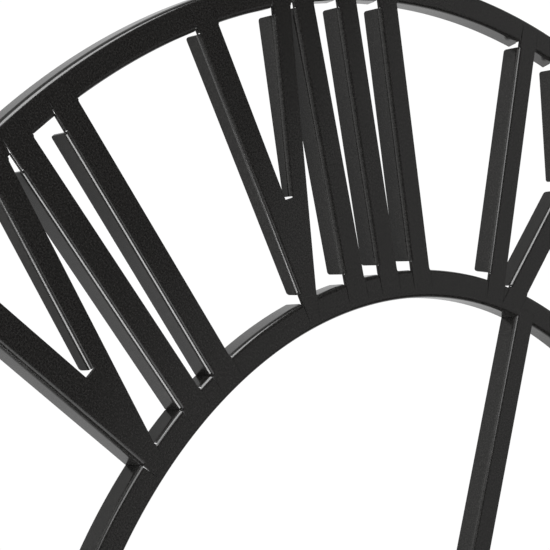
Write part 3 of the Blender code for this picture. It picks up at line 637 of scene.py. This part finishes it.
def glyph_x(name, centre_u, tilt, hour):
    """An X in one plate, with the left edge of its four arms folded back."""
    falling = stroke_edges(centre_u - X_RISE * math.tan(tilt - X_HALF), tilt - X_HALF)
    rising = stroke_edges(centre_u - X_RISE * math.tan(tilt + X_HALF), tilt + X_HALF)
    fall_start = fold_line(falling[0])
    rise_start = fold_line(rising[0])
    left_fork = meeting(fall_start, rise_start)
    top_fork = meeting(falling[1], rise_start)
    right_fork = meeting(falling[1], rising[1])
    foot_fork = meeting(fall_start, rising[1])
    fall_cut, rise_cut = (inside(start, TOP_INSET) for start in (fall_start, rise_start))
    fall_foot_cut, rise_foot_cut = (inside(start, FOOT_INSET) for start in (fall_start, rise_start))
    fall_top = top_of_fold(fall_start, hour)
    rise_top = top_of_fold(rise_start, hour)
    fall_foot = foot_of_fold(fall_start, hour)
    rise_foot = foot_of_fold(rise_start, hour, RISING_FOOT_STOP)
    outline = inner_tip(rise_foot_cut, rising[1]) + [foot_fork]
    folds = {len(outline): fold(slant=FOOT_SLANTS.get(hour, 0.0))}
    outline += [foot_fork - direction(fall_start) * X_FORK_GAP, on_circle(fall_start, fall_foot)]
    outline += [on_circle(fall_foot_cut, fall_foot - RELIEF)]
    outline += inner_tip(fall_foot_cut, falling[1]) + [right_fork]
    outline += outer_tip(rise_cut, rising[1]) + [on_circle(rise_cut, rise_top + RELIEF)]
    folds[len(outline)] = fold()
    outline += [on_circle(rise_start, rise_top), top_fork + direction(rise_start) * X_FORK_GAP, top_fork]
    outline += outer_tip(fall_cut, falling[1]) + [on_circle(fall_cut, fall_top + RELIEF)]
    folds[len(outline)] = fold()
    outline += [on_circle(fall_start, fall_top), left_fork + direction(fall_start) * X_FORK_GAP, left_fork]
    folds[len(outline)] = fold()
    outline += [left_fork - direction(rise_start) * X_FORK_GAP, on_circle(rise_start, rise_foot),
                on_circle(rise_foot_cut, rise_foot - RELIEF)]
    obj = folded_sheet(f"{name}_sheet", outline, folds, hour)
    for start, cut, foot_cut, edge in ((fall_start, fall_cut, fall_foot_cut, falling[1]),
                                       (rise_start, rise_cut, rise_foot_cut, rising[1])):
        slit = outer_line(start)
        let_in("outer", slit, cut, edge, OUTER_IN, OUTER_OUT, hour)
        let_in("inner", slit, foot_cut, edge, INNER_OUT, INNER_IN, hour)
    return obj


def stand_for(obj, node):
    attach(obj, "dial")
    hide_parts(node)


GLYPHS = {"I": (STROKE, stroke_i), "V": (V_WIDTH, glyph_v), "X": (X_WIDTH, glyph_x)}


def build_numeral(hour, text):
    """Lays out a numeral's letters side by side about its hour's line."""
    shift, lean, i_gap = HAND_SET.get(hour, (0.0, 0.0, I_TO_I))
    gap_after = {"II": i_gap, "VI": V_TO_I, "IX": X_TO_I, "XI": X_TO_I}
    gaps = [gap_after[text[i:i + 2]] for i in range(len(text) - 1)]
    widths = [GLYPHS[letter][0] for letter in text]
    u = shift - (sum(widths) + sum(gaps)) / 2
    count = 0
    for letter, width, gap in zip(text, widths, [*gaps, 0.0]):
        centre_u = u + width / 2
        tilt = FAN * math.atan(centre_u / MID) + math.radians(lean)
        suffix = letter.lower()
        if letter == "I" and text.count("I") > 1:
            count += 1
            suffix += str(count)
        node = f"numeral_{hour}_{suffix}"
        stand_for(GLYPHS[letter][1](node, centre_u, tilt, hour), node)
        u += width + gap


def build_spoke(hour):
    """A folded strip from the hub to the inner ring, and its places in both."""
    left, right = stroke_edges(SPOKE_AT_CENTRE + math.tan(SPOKE_LEAN) * MID, SPOKE_LEAN)
    start = fold_line(left)
    outline = [on_circle(start, HUB - SPOKE_TONGUE), on_circle(right, HUB - SPOKE_TONGUE),
               on_circle(right, INNER_IN + SPOKE_TONGUE), on_circle(start, INNER_IN + SPOKE_TONGUE)]
    folds = {len(outline): fold()}
    outline += [on_circle(start, INNER_IN + SPOKE_LAP), on_circle(start, HUB - SPOKE_LAP)]
    node = f"spoke_{hour}"
    stand_for(folded_sheet(f"{node}_sheet", outline, folds, hour), node)
    for ring, edge, sign in (("inner", INNER_IN, 1), ("hub", HUB, -1)):
        before = edge - sign * CUT_START
        end = edge + sign * (SPOKE_TONGUE + SEAM)
        pocket = patch(beside(start, -SEAM), beside(right, SEAM), before, end)
        cutters[ring].append(prism(pocket, POCKET_CUT, hour))
        end = edge + sign * SPOKE_REACH
        window = patch(beside(left, -SPOKE_WINDOW), beside(right, SPOKE_WINDOW), before, end)
        cutters[ring].append(prism(window, EDGE_CUT, hour))


def join_meshes(name, meshes):
    """One object from many meshes, which are used up."""
    bm = bmesh.new()
    for mesh in meshes:
        bm.from_mesh(mesh)
        bpy.data.meshes.remove(mesh)
    mesh = bpy.data.meshes.new(name)
    bm.to_mesh(mesh)
    bm.free()
    return new_object(name, mesh)


def arc(cx, cy, radius, start, end, steps=ARC_STEPS):
    """Points on an arc between two angles in degrees."""
    angles = [math.radians(start + (end - start) * i / steps) for i in range(steps + 1)]
    return [(cx + radius * math.cos(angle), cy + radius * math.sin(angle)) for angle in angles]


def channel(inner, outer):
    """Section (radius, depth) of a ring: flat face, rounded folds, both edges turned back."""
    tight = BEND - SHEET
    section = [(inner, FLANGE - LIP)] + arc(inner + BEND, BEND, BEND, 180, 270)
    section += arc(outer - BEND, BEND, BEND, 270, 360)
    section += [(outer, FLANGE - LIP), (outer - LIP, FLANGE), (outer - SHEET + LIP, FLANGE),
                (outer - SHEET, FLANGE - LIP)]
    section += arc(outer - BEND, BEND, tight, 360, 270, INSIDE_STEPS)
    section += arc(inner + BEND, BEND, tight, 270, 180, INSIDE_STEPS)
    section += [(inner + SHEET, FLANGE - LIP), (inner + SHEET - LIP, FLANGE), (inner + LIP, FLANGE)]
    return section


def cup(inner, outer):
    """Section (radius, depth) of the hub: a face with a bore, and its outer edge turned back."""
    tight = BEND - SHEET
    section = [(inner, SHEET - LIP), (inner, LIP), (inner + LIP, 0.0)]
    section += arc(outer - BEND, BEND, BEND, 270, 360)
    section += [(outer, FLANGE - LIP), (outer - LIP, FLANGE), (outer - SHEET + LIP, FLANGE),
                (outer - SHEET, FLANGE - LIP)]
    return section + arc(outer - BEND, BEND, tight, 360, 270, INSIDE_STEPS) + [(inner + LIP, SHEET)]


def revolve(name, section, steps):
    """Body of revolution about the hands' axis, from a closed section."""
    bm = bmesh.new()
    rings = []
    for step in range(steps):
        a = math.tau * step / steps
        rings.append([bm.verts.new((r * math.sin(a), y, r * math.cos(a))) for r, y in section])
    count = len(section)
    for step in range(steps):
        here, there = rings[step], rings[(step + 1) % steps]
        for i in range(count):
            j = (i + 1) % count
            bm.faces.new([here[i], here[j], there[j], there[i]])
    bmesh.ops.recalc_face_normals(bm, faces=bm.faces)
    mesh = bpy.data.meshes.new(name)
    bm.to_mesh(mesh)
    bm.free()
    obj = new_object(name, mesh)
    obj.location = (CENTRE.x, FRONT, CENTRE.z)
    return obj


def build_ring(name, section, steps, cuts, node):
    """A revolved piece with the strokes' or spokes' places cut out of it."""
    obj = revolve(name, section, steps)
    tool = join_meshes(name + "_cut", cuts)
    modifier = obj.modifiers.new("cut", "BOOLEAN")
    modifier.operation = "DIFFERENCE"
    modifier.solver = "EXACT"
    modifier.use_self = True
    modifier.object = tool
    settle(obj)
    bpy.data.objects.remove(tool, do_unlink=True)
    stand_for(obj, node)


for hour, text in enumerate(NUMERALS, start=1):
    build_numeral(hour, text)
for hour in SPOKE_HOURS:
    build_spoke(hour)
fold_strips = join_meshes("fold_strips", strips)
fold_strips.data.materials.append(COAT)
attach(fold_strips, "dial")
outer_section = channel(OUTER_IN, OUTER_OUT)
inner_section = channel(INNER_IN, INNER_OUT)
build_ring("outer_ring_sheet", outer_section, OUTER_RING_STEPS, cutters["outer"], "outer_ring")
build_ring("inner_ring_sheet", inner_section, INNER_RING_STEPS, cutters["inner"], "inner_ring")
build_ring("hub_cup_sheet", cup(HUB_BORE, HUB), HUB_STEPS, cutters["hub"], "hub_cup")


# ------------------------------------------------------------------ hands, movement and fixings
# Width of the rounding on the edges of the CAD nodes that show.
EDGES = {
    "hour_hand": 0.00030,
    "minute_hand": 0.00030,
    "hanger_bracket": 0.00035,
    "movement_case": 0.00035,
    "battery_cover": 0.00030,
    "set_knob": 0.00030,
    "cap_nut": 0.00025,
    "hex_nut": 0.00020,
    "lower_spacer": 0.00040,
}
SOFTEN_NODE_FROM = math.radians(40)
WELD_DISTANCE = 0.000005                     # joins a node's loose triangles before its edges are rounded


def finish_node(name, material, edge):
    """Gives a CAD node its material and, where it shows, broken edges. Its own mesh stays as it is."""
    node = frame["nodes"][name]
    for place in node.material_slots:
        place.material = material
    if edge is None:
        return
    weld = node.modifiers.new("weld", "WELD")
    weld.merge_threshold = WELD_DISTANCE
    soften = node.modifiers.new("soft_edges", "BEVEL")
    soften.width = edge
    soften.segments = 2
    soften.limit_method = "ANGLE"
    soften.angle_limit = SOFTEN_NODE_FROM
    soften.harden_normals = True


for subpart in frame["record"]["subparts"]:
    if subpart["material_slot"] in FINISHES:
        finish_node(subpart["node"], FINISHES[subpart["material_slot"]], EDGES.get(subpart["node"]))


# ------------------------------------------------------------------ stage
FLOOR_DROP = 1.0                             # the floor lies this far under the dial's lowest point
FLOOR_HALF = 20.0                            # half of the floor's side


def build_floor():
    bm = bmesh.new()
    corners = [(-FLOOR_HALF, -FLOOR_HALF), (FLOOR_HALF, -FLOOR_HALF),
               (FLOOR_HALF, FLOOR_HALF), (-FLOOR_HALF, FLOOR_HALF)]
    bm.faces.new([bm.verts.new((x, y, ring_low.z - FLOOR_DROP)) for x, y in corners])
    mesh = bpy.data.meshes.new("floor")
    bm.to_mesh(mesh)
    bm.free()
    floor = new_object("floor", mesh)
    material, tree, shader = new_material("pale_floor", (0.80, 0.80, 0.79), 0.85,
                                          Emission_Strength=0.10)
    colour = ramp(tree, noise(tree, 1.5, 3.0), 0.3, 0.7, (0.78, 0.78, 0.77), (0.82, 0.82, 0.81))
    tree.links.new(colour, shader.inputs["Base Color"])
    mesh.materials.append(material)


build_floor()


LIGHT_DISTANCE = 1.5
LIGHT_TARGET = CENTRE + Vector((-0.2, 0.0, -0.2))
# Name, direction from the target, size in metres and radiance of each softbox.
SOFTBOXES = (
    ("right", (0.92, -0.33, -0.21), (0.75, 0.75), 12.0),
    ("left", (-0.80, -0.56, -0.21), (0.75, 0.75), 9.0),
    ("left_front", (-0.49, -0.85, -0.21), (0.75, 0.75), 4.5),
    ("low_right", (0.70, 0.06, -0.71), (0.75, 0.75), 2.5),
    ("front", (0.32, -0.88, 0.34), (0.75, 0.75), 2.0),
    ("high_left", (-0.31, -0.53, 0.79), (1.5, 0.75), 0.25),
)
SEEN_WHITE = 1.02                            # strength of the plain white that the camera sees
BEHIND_RANGE = (-0.25, 0.45)                 # the light from all round fades in towards the back


def area_light(name, towards, size, radiance):
    data = bpy.data.lights.new(name, "AREA")
    data.shape = "RECTANGLE"
    data.size, data.size_y = size
    data.energy = radiance * math.pi * size[0] * size[1]
    light = bpy.data.objects.new(name, data)
    bpy.context.scene.collection.objects.link(light)
    light.location = LIGHT_TARGET + Vector(towards).normalized() * LIGHT_DISTANCE
    light.rotation_mode = "QUATERNION"
    light.rotation_quaternion = (LIGHT_TARGET - light.location).to_track_quat("-Z", "Y")


def build_world():
    """Plain white to the camera, and light from all round that comes from behind the dial only."""
    world = bpy.data.worlds.new("studio")
    bpy.context.scene.world = world
    world.use_nodes = True
    tree = world.node_tree
    tree.nodes.clear()
    out = tree.nodes.new("ShaderNodeOutputWorld")
    seen = tree.nodes.new("ShaderNodeBackground")
    seen.inputs["Color"].default_value = (1.0, 1.0, 1.0, 1.0)
    seen.inputs["Strength"].default_value = SEEN_WHITE
    lit = tree.nodes.new("ShaderNodeBackground")
    where = tree.nodes.new("ShaderNodeTexCoord")
    split = tree.nodes.new("ShaderNodeSeparateXYZ")
    behind = tree.nodes.new("ShaderNodeMapRange")
    behind.interpolation_type = "SMOOTHSTEP"
    behind.inputs["From Min"].default_value = BEHIND_RANGE[0]
    behind.inputs["From Max"].default_value = BEHIND_RANGE[1]
    behind.inputs["To Min"].default_value = 0.0
    behind.inputs["To Max"].default_value = 1.0
    path = tree.nodes.new("ShaderNodeLightPath")
    mix = tree.nodes.new("ShaderNodeMixShader")
    tree.links.new(where.outputs["Generated"], split.inputs["Vector"])
    tree.links.new(split.outputs["Y"], behind.inputs["Value"])
    tree.links.new(behind.outputs["Result"], lit.inputs["Strength"])
    tree.links.new(path.outputs["Is Camera Ray"], mix.inputs["Fac"])
    tree.links.new(lit.outputs["Background"], mix.inputs[1])
    tree.links.new(seen.outputs["Background"], mix.inputs[2])
    tree.links.new(mix.outputs["Shader"], out.inputs["Surface"])


build_world()
for name, towards, size, radiance in SOFTBOXES:
    area_light(f"softbox_{name}", towards, size, radiance)
bpy.context.scene.view_settings.view_transform = "Standard"
